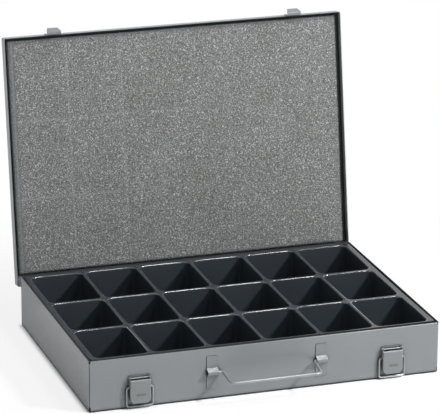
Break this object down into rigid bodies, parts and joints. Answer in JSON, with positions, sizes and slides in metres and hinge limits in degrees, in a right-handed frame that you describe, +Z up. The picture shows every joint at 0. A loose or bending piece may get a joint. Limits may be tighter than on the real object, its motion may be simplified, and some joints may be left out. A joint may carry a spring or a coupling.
{
  "type": "tool case",
  "caption": "Sheet-steel case standing open, with a compartment insert, a foam-lined hinged lid, toggle latches on the front and a folding wire handle.",
  "frame": {"origin": "middle of the base's underside, on the surface the case stands on", "axes": "+X to the right seen from the front, +Y to the back where the hinge is, +Z up"},
  "size_m": [0.4402, 0.4113, 0.3621],
  "materials": {
    "case_paint": "satin",
    "insert_plastic": "satin",
    "foam": "matte",
    "fitting_paint": "satin",
    "plated_wire": "satin"
  },
  "bodies": {
    "base": {"base_tray": "case_paint", "hinge_base_leaf": "case_paint", "hinge_pin": "plated_wire", "latch_plate_left": "fitting_paint", "latch_plate_right": "fitting_paint", "latch_pin_left": "plated_wire", "latch_pin_right": "plated_wire", "handle_bracket_left": "fitting_paint", "handle_bracket_right": "fitting_paint"},
    "lid": {"lid_shell": "case_paint", "hinge_lid_leaf": "case_paint", "lid_foam": "foam", "catch_left": "fitting_paint", "catch_right": "fitting_paint"},
    "insert": {"tray_insert": "insert_plastic"},
    "handle": {"handle_wire": "plated_wire"},
    "latch_lever_left": {"latch_lever_left": "fitting_paint"},
    "latch_bail_left": {"latch_bail_left": "plated_wire"},
    "latch_lever_right": {"latch_lever_right": "fitting_paint"},
    "latch_bail_right": {"latch_bail_right": "plated_wire"}
  },
  "joints": [
    {"name": "lid_hinge", "type": "hinge", "parent": "base", "child": "lid", "pos_m": [0, 0.15545, 0.0487], "axis": [1, 0, 0], "range_deg": [0, 99], "deforming": ["lid_foam"]},
    {"name": "insert_lift", "type": "slide", "parent": "base", "child": "insert", "axis": [0, 0, -1], "range_m": [-0.07, 0]},
    {"name": "handle_swing", "type": "hinge", "parent": "base", "child": "handle", "pos_m": [0, -0.1574, 0.0341], "axis": [-1, 0, 0], "range_deg": [-84, 91]},
    {"name": "latch_left_lever", "type": "hinge", "parent": "base", "child": "latch_lever_left", "pos_m": [-0.157, -0.1566, 0.0385], "axis": [1, 0, 0], "range_deg": [-135, 0]},
    {"name": "latch_left_bail", "type": "hinge", "parent": "latch_lever_left", "child": "latch_bail_left", "pos_m": [-0.157, -0.1563, 0.0272], "axis": [-1, 0, 0], "range_deg": [0, 176.5]},
    {"name": "latch_right_lever", "type": "hinge", "parent": "base", "child": "latch_lever_right", "pos_m": [0.157, -0.1566, 0.0385], "axis": [1, 0, 0], "range_deg": [-135, 0]},
    {"name": "latch_right_bail", "type": "hinge", "parent": "latch_lever_right", "child": "latch_bail_right", "pos_m": [0.157, -0.1563, 0.0272], "axis": [-1, 0, 0], "range_deg": [0, 176.5]}
  ]
}
